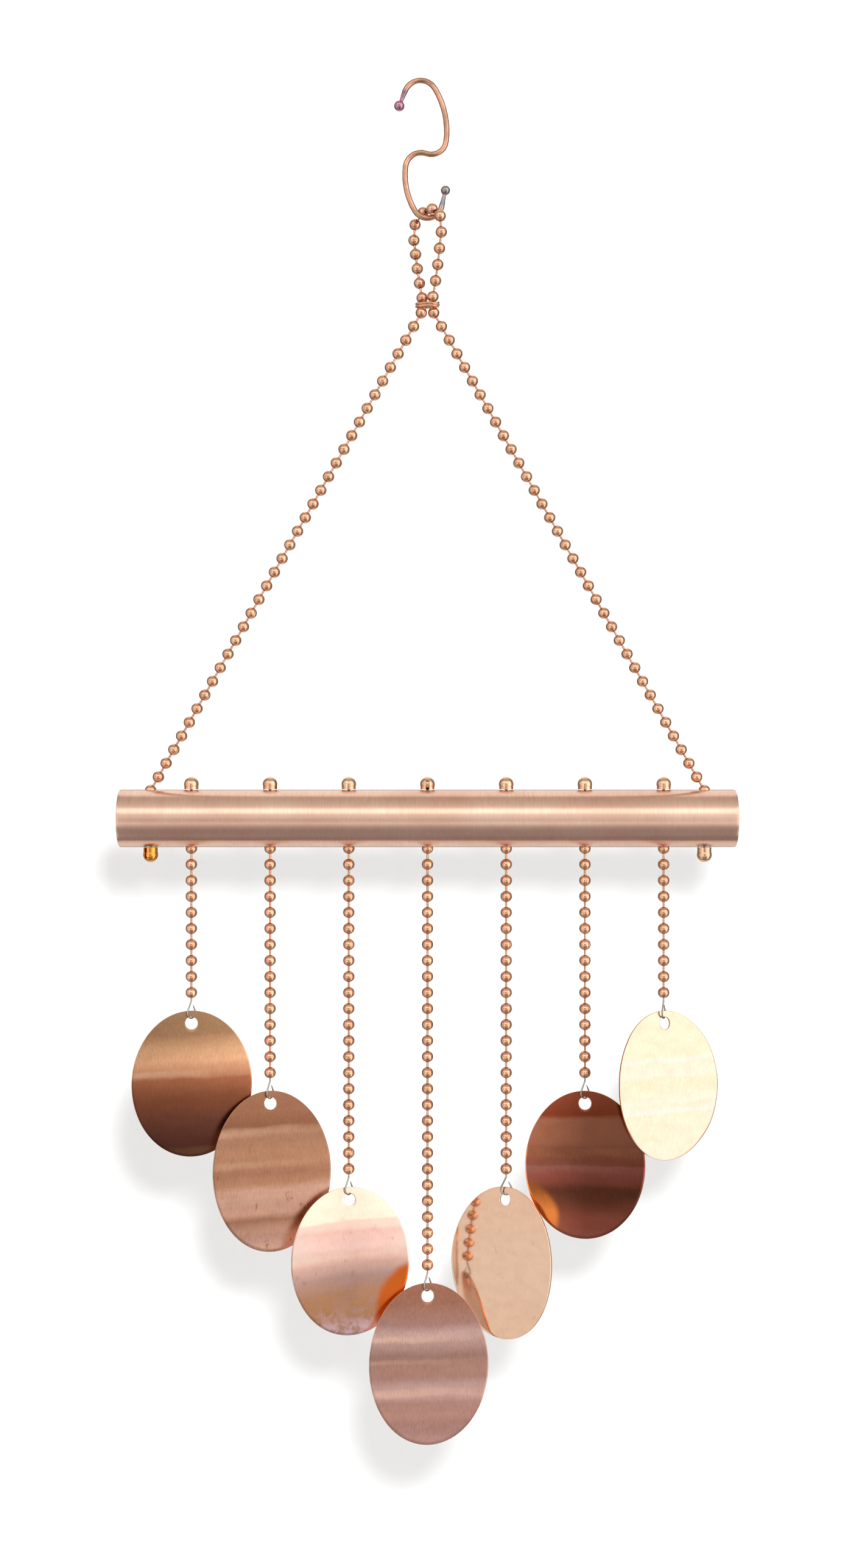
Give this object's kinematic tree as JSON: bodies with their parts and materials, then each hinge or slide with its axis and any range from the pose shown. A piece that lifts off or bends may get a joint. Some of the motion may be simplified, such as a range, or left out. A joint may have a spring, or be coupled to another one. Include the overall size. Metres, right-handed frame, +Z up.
{
  "type": "wind chime",
  "caption": "Wind chime: oval copper discs on ball chains hang from a drilled cross tube, carried by a looped ball chain on an S-hook.",
  "frame": {"origin": "the hanging point, under the wire at the top of the S-hook's upper bend", "axes": "+X along the cross tube to the right, +Y to the back, +Z up"},
  "size_m": [0.17, 0.02, 0.3773],
  "materials": {
    "hook_copper": "drawn copper wire with violet and blue heat tint at its melted ends",
    "chain_copper": "polished copper-plated ball chain with soft brown in the recesses",
    "link_copper": "polished copper-plated link wire",
    "wrap_copper": "annealed copper binding wire, darker and duller",
    "tube_copper": "satin copper, brushed round the tube",
    "cover_copper": "polished copper-plated crimp cover",
    "cover_gold": "polished golden crimp cover",
    "eye_steel": "bright steel wire",
    "disc_1_copper": "hammered and satin-polished copper sheet, brown-gold at the top to dark red-brown at the bottom",
    "disc_2_copper": "hammered and satin-polished copper sheet, rose-tan with small brown tarnish spots",
    "disc_3_copper": "hammered and satin-polished copper sheet, pale pink with oxidised mottling at the lower left",
    "disc_4_copper": "hammered and satin-polished copper sheet, matt rose with two soft level highlights",
    "disc_5_copper": "hammered and satin-polished copper sheet, pale peach mirror polish",
    "disc_6_copper": "hammered and satin-polished copper sheet, dark brown and maroon tarnish with a violet band",
    "disc_7_copper": "hammered and satin-polished copper sheet, pale bright copper, near mirror polish"
  },
  "bodies": {
    "hook": {"s_hook": "hook_copper"},
    "hanger_loop": {"loop_beads": "chain_copper", "loop_links": "link_copper", "wire_wrap": "wrap_copper"},
    "hanger_legs": {"left_leg_beads": "chain_copper", "left_leg_links": "link_copper", "right_leg_beads": "chain_copper", "right_leg_links": "link_copper"},
    "tube": {"cross_tube": "tube_copper", "tube_beads": "chain_copper", "tube_links": "link_copper", "left_end_cover": "cover_gold", "right_end_cover": "cover_copper", "chime_1_cover": "cover_copper", "chime_2_cover": "cover_copper", "chime_3_cover": "cover_copper", "chime_4_cover": "cover_copper", "chime_5_cover": "cover_copper", "chime_6_cover": "cover_copper", "chime_7_cover": "cover_copper"},
    "neck_1": {"chime_1_neck": "chain_copper"},
    "string_1": {"chime_1_beads": "chain_copper", "chime_1_links": "link_copper"},
    "eye_1": {"chime_1_eye": "eye_steel"},
    "disc_1": {"chime_1_disc": "disc_1_copper"},
    "neck_2": {"chime_2_neck": "chain_copper"},
    "string_2": {"chime_2_beads": "chain_copper", "chime_2_links": "link_copper"},
    "eye_2": {"chime_2_eye": "eye_steel"},
    "disc_2": {"chime_2_disc": "disc_2_copper"},
    "neck_3": {"chime_3_neck": "chain_copper"},
    "string_3": {"chime_3_beads": "chain_copper", "chime_3_links": "link_copper"},
    "eye_3": {"chime_3_eye": "eye_steel"},
    "disc_3": {"chime_3_disc": "disc_3_copper"},
    "neck_4": {"chime_4_neck": "chain_copper"},
    "string_4": {"chime_4_beads": "chain_copper", "chime_4_links": "link_copper"},
    "eye_4": {"chime_4_eye": "eye_steel"},
    "disc_4": {"chime_4_disc": "disc_4_copper"},
    "neck_5": {"chime_5_neck": "chain_copper"},
    "string_5": {"chime_5_beads": "chain_copper", "chime_5_links": "link_copper"},
    "eye_5": {"chime_5_eye": "eye_steel"},
    "disc_5": {"chime_5_disc": "disc_5_copper"},
    "neck_6": {"chime_6_neck": "chain_copper"},
    "string_6": {"chime_6_beads": "chain_copper", "chime_6_links": "link_copper"},
    "eye_6": {"chime_6_eye": "eye_steel"},
    "disc_6": {"chime_6_disc": "disc_6_copper"},
    "neck_7": {"chime_7_neck": "chain_copper"},
    "string_7": {"chime_7_beads": "chain_copper", "chime_7_links": "link_copper"},
    "eye_7": {"chime_7_eye": "eye_steel"},
    "disc_7": {"chime_7_disc": "disc_7_copper"}
  },
  "joints": [
    {"name": "hanger_sway", "type": "hinge", "parent": "hook", "child": "hanger_loop", "pos_m": [0.00175, 0, -0.03331], "axis": [0, 1, 0], "range_deg": [-15, 15]},
    {"name": "leg_swing", "type": "hinge", "parent": "hanger_loop", "child": "hanger_legs", "pos_m": [0.00175, 0, -0.06474], "axis": [1, 0, 0], "range_deg": [-18, 18]},
    {"name": "tube_roll", "type": "hinge", "parent": "hanger_legs", "child": "tube", "pos_m": [0.00175, 0, -0.19425], "axis": [1, 0, 0], "range_deg": [-18, 18]},
    {"name": "chime_1_swing", "type": "hinge", "parent": "tube", "child": "neck_1", "pos_m": [-0.06351, 0, -0.213], "axis": [1, 0, 0], "range_deg": [-18, 18]},
    {"name": "chime_1_sway", "type": "hinge", "parent": "neck_1", "child": "string_1", "pos_m": [-0.06351, 0, -0.21743], "axis": [0, 1, 0], "range_deg": [-10, 10]},
    {"name": "disc_1_turn", "type": "hinge", "parent": "string_1", "child": "eye_1", "pos_m": [-0.06351, 0, -0.25139], "axis": [0, 0, 1], "range_deg": [-1.5, 30]},
    {"name": "disc_1_swing", "type": "hinge", "parent": "eye_1", "child": "disc_1", "pos_m": [-0.06351, 0, -0.25812], "axis": [0.9816, 0.1908, 0], "range_deg": [-1, 8]},
    {"name": "chime_2_swing", "type": "hinge", "parent": "tube", "child": "neck_2", "pos_m": [-0.04176, 0, -0.213], "axis": [1, 0, 0], "range_deg": [-18, 18]},
    {"name": "chime_2_sway", "type": "hinge", "parent": "neck_2", "child": "string_2", "pos_m": [-0.04176, 0, -0.21743], "axis": [0, 1, 0], "range_deg": [-10, 10]},
    {"name": "disc_2_turn", "type": "hinge", "parent": "string_2", "child": "eye_2", "pos_m": [-0.04176, 0, -0.27354], "axis": [0, 0, 1], "range_deg": [-2, 30]},
    {"name": "disc_2_swing", "type": "hinge", "parent": "eye_2", "child": "disc_2", "pos_m": [-0.04176, 0, -0.28027], "axis": [0.9613, 0.2756, 0], "range_deg": [-1, 8]},
    {"name": "chime_3_swing", "type": "hinge", "parent": "tube", "child": "neck_3", "pos_m": [-0.02, 0, -0.213], "axis": [1, 0, 0], "range_deg": [-18, 18]},
    {"name": "chime_3_sway", "type": "hinge", "parent": "neck_3", "child": "string_3", "pos_m": [-0.02, 0, -0.21743], "axis": [0, 1, 0], "range_deg": [-10, 10]},
    {"name": "disc_3_turn", "type": "hinge", "parent": "string_3", "child": "eye_3", "pos_m": [-0.02, 0, -0.30012], "axis": [0, 0, 1], "range_deg": [-1.5, 30]},
    {"name": "disc_3_swing", "type": "hinge", "parent": "eye_3", "child": "disc_3", "pos_m": [-0.02, 0, -0.30685], "axis": [0.9744, 0.225, 0], "range_deg": [-0.7, 8]},
    {"name": "chime_4_swing", "type": "hinge", "parent": "tube", "child": "neck_4", "pos_m": [0.00175, 0, -0.213], "axis": [1, 0, 0], "range_deg": [-18, 18]},
    {"name": "chime_4_sway", "type": "hinge", "parent": "neck_4", "child": "string_4", "pos_m": [0.00175, 0, -0.21743], "axis": [0, 1, 0], "range_deg": [-10, 10]},
    {"name": "disc_4_turn", "type": "hinge", "parent": "string_4", "child": "eye_4", "pos_m": [0.00175, 0, -0.3267], "axis": [0, 0, 1], "range_deg": [-2.5, 3]},
    {"name": "disc_4_swing", "type": "hinge", "parent": "eye_4", "child": "disc_4", "pos_m": [0.00175, 0, -0.33343], "axis": [0.9925, 0.1219, 0], "range_deg": [-5, 4]},
    {"name": "chime_5_swing", "type": "hinge", "parent": "tube", "child": "neck_5", "pos_m": [0.02349, 0, -0.213], "axis": [1, 0, 0], "range_deg": [-18, 18]},
    {"name": "chime_5_sway", "type": "hinge", "parent": "neck_5", "child": "string_5", "pos_m": [0.02349, 0, -0.21743], "axis": [0, 1, 0], "range_deg": [-10, 10]},
    {"name": "disc_5_turn", "type": "hinge", "parent": "string_5", "child": "eye_5", "pos_m": [0.02349, 0, -0.30012], "axis": [0, 0, 1], "range_deg": [-30, 6]},
    {"name": "disc_5_swing", "type": "hinge", "parent": "eye_5", "child": "disc_5", "pos_m": [0.02349, 0, -0.30685], "axis": [0.809, -0.5878, 0], "range_deg": [-1, 8]},
    {"name": "chime_6_swing", "type": "hinge", "parent": "tube", "child": "neck_6", "pos_m": [0.04525, 0, -0.213], "axis": [1, 0, 0], "range_deg": [-18, 18]},
    {"name": "chime_6_sway", "type": "hinge", "parent": "neck_6", "child": "string_6", "pos_m": [0.04525, 0, -0.21743], "axis": [0, 1, 0], "range_deg": [-10, 10]},
    {"name": "disc_6_turn", "type": "hinge", "parent": "string_6", "child": "eye_6", "pos_m": [0.04525, 0, -0.27354], "axis": [0, 0, 1], "range_deg": [-4, 10]},
    {"name": "disc_6_swing", "type": "hinge", "parent": "eye_6", "child": "disc_6", "pos_m": [0.04525, 0, -0.28027], "axis": [0.9986, -0.0523, 0], "range_deg": [-2, 8]},
    {"name": "chime_7_swing", "type": "hinge", "parent": "tube", "child": "neck_7", "pos_m": [0.06699, 0, -0.213], "axis": [1, 0, 0], "range_deg": [-18, 18]},
    {"name": "chime_7_sway", "type": "hinge", "parent": "neck_7", "child": "string_7", "pos_m": [0.06699, 0, -0.21743], "axis": [0, 1, 0], "range_deg": [-10, 10]},
    {"name": "disc_7_turn", "type": "hinge", "parent": "string_7", "child": "eye_7", "pos_m": [0.06699, 0, -0.25139], "axis": [0, 0, 1], "range_deg": [-6, 30]},
    {"name": "disc_7_swing", "type": "hinge", "parent": "eye_7", "child": "disc_7", "pos_m": [0.06699, 0, -0.25812], "axis": [0.8746, 0.4848, 0], "range_deg": [-4.5, 1.5]}
  ],
  "couplings": [
    {"joint": "chime_1_swing", "follows": "chime_4_swing", "ratio": 1},
    {"joint": "chime_1_sway", "follows": "chime_4_sway", "ratio": 1},
    {"joint": "chime_2_swing", "follows": "chime_4_swing", "ratio": 1},
    {"joint": "chime_2_sway", "follows": "chime_4_sway", "ratio": 1},
    {"joint": "chime_3_swing", "follows": "chime_4_swing", "ratio": 1},
    {"joint": "chime_3_sway", "follows": "chime_4_sway", "ratio": 1},
    {"joint": "chime_5_swing", "follows": "chime_4_swing", "ratio": 1},
    {"joint": "chime_5_sway", "follows": "chime_4_sway", "ratio": 1},
    {"joint": "chime_6_swing", "follows": "chime_4_swing", "ratio": 1},
    {"joint": "chime_6_sway", "follows": "chime_4_sway", "ratio": 1},
    {"joint": "chime_7_swing", "follows": "chime_4_swing", "ratio": 1},
    {"joint": "chime_7_sway", "follows": "chime_4_sway", "ratio": 1}
  ]
}
